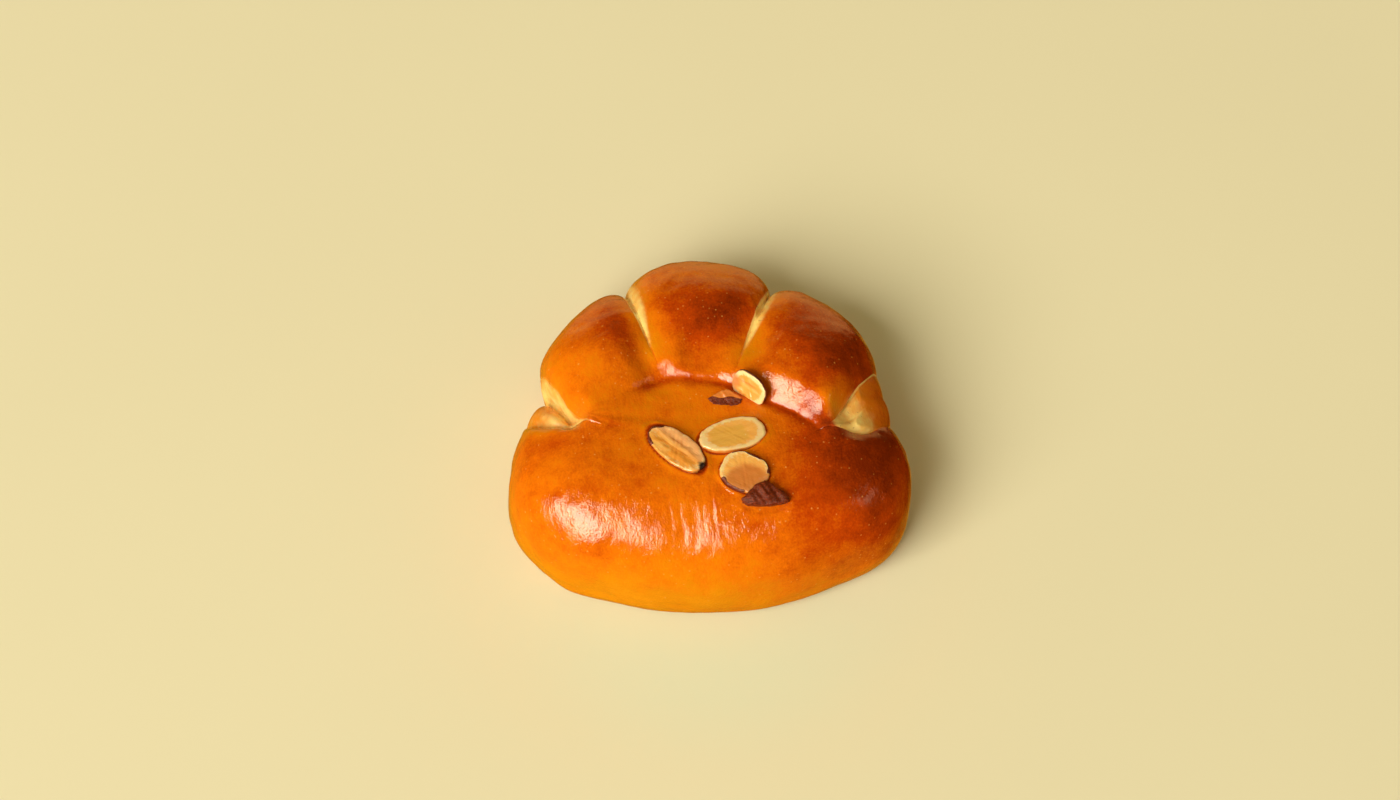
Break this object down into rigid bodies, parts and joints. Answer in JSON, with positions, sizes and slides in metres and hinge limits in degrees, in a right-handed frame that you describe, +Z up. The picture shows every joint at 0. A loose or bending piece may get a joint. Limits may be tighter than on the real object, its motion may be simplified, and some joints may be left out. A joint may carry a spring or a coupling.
{
  "type": "custard bun",
  "caption": "Glazed sweet bun shaped like a mitten, with puffy lobes parted by slits behind a smooth front roll and sliced almond on its sunk middle.",
  "frame": {"origin": "middle of the outline, on the plane that the base rests on", "axes": "+X along the long side, to the right seen from the front roll; -Y towards the front roll; +Z up"},
  "size_m": [0.116, 0.1074, 0.0428],
  "materials": {
    "crust": "egg-washed golden brown crust, glossy",
    "almond": "toasted almond, satin",
    "almond_skin": "dark wrinkled almond skin"
  },
  "bodies": {
    "root": {"bun": "crust", "almond_slice_left": "almond", "almond_slice_right": "almond", "almond_slice_front": "almond", "almond_slice_tilted": "almond", "almond_slice_sunk": "almond", "almond_skin_piece": "almond_skin"}
  },
  "joints": []
}
